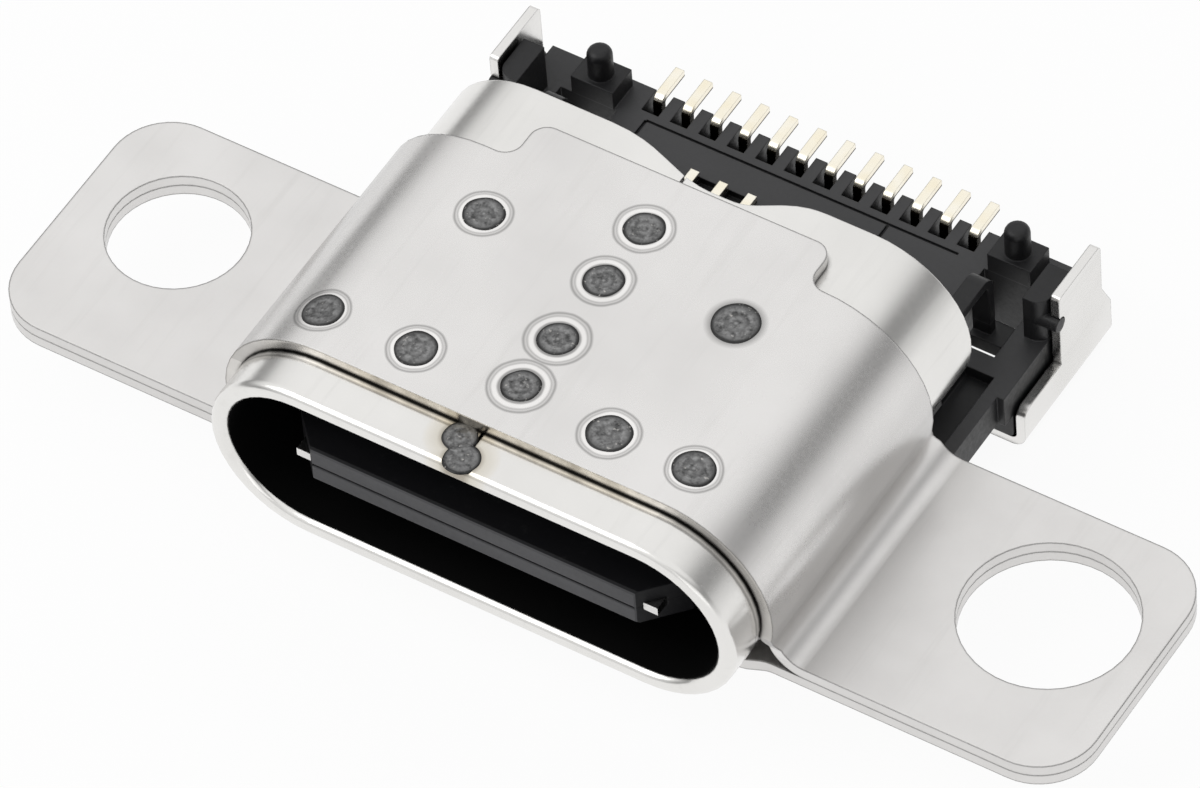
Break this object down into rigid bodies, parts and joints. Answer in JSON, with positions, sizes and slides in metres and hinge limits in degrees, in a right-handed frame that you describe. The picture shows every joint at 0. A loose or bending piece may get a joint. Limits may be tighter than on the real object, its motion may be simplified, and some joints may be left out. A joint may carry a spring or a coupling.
{
  "type": "usb-c socket",
  "caption": "Mid-mount socket: a drawn stadium shell wrapped by a two-layer bracket with screw ears, a tongue with contact rows, and a low moulded tail in a rear shield.",
  "frame": {"origin": "centre of the plug mouth on the shell's front face", "axes": "+X along the mouth's long side towards the larger ear hole, +Y the way the plug goes in, +Z towards the circuit board side, away from the ears' flat underside"},
  "size_m": [0.0186, 0.0102, 0.0045],
  "materials": {
    "nickel_shell": "bright nickel plate",
    "bracket_steel": "satin stainless sheet with spot welds",
    "shield_steel": "bright tin plate",
    "plate_steel": "bare stainless sheet",
    "gold_contact": "pale gold plate",
    "black_moulding": "moulded, fine grain"
  },
  "bodies": {
    "root": {"inner_shell": "nickel_shell", "upper_bracket": "bracket_steel", "lower_bracket": "bracket_steel", "rear_shield": "shield_steel", "mid_plate": "plate_steel", "upper_ground_spring": "plate_steel", "lower_ground_spring": "plate_steel", "upper_insulator": "black_moulding", "lower_insulator": "black_moulding", "tail_housing": "black_moulding", "left_hook": "black_moulding", "right_hook": "black_moulding", "upper_contact_01": "gold_contact", "upper_contact_02": "gold_contact", "upper_contact_03": "gold_contact", "upper_contact_04": "gold_contact", "upper_contact_05": "gold_contact", "upper_contact_06": "gold_contact", "upper_contact_07": "gold_contact", "upper_contact_08": "gold_contact", "upper_contact_09": "gold_contact", "upper_contact_10": "gold_contact", "upper_contact_11": "gold_contact", "upper_contact_12": "gold_contact", "lower_contact_01": "gold_contact", "lower_contact_02": "gold_contact", "lower_contact_03": "gold_contact", "lower_contact_04": "gold_contact", "lower_contact_05": "gold_contact", "lower_contact_06": "gold_contact", "lower_contact_07": "gold_contact", "lower_contact_08": "gold_contact", "lower_contact_09": "gold_contact", "lower_contact_10": "gold_contact", "lower_contact_11": "gold_contact", "lower_contact_12": "gold_contact"}
  },
  "joints": []
}
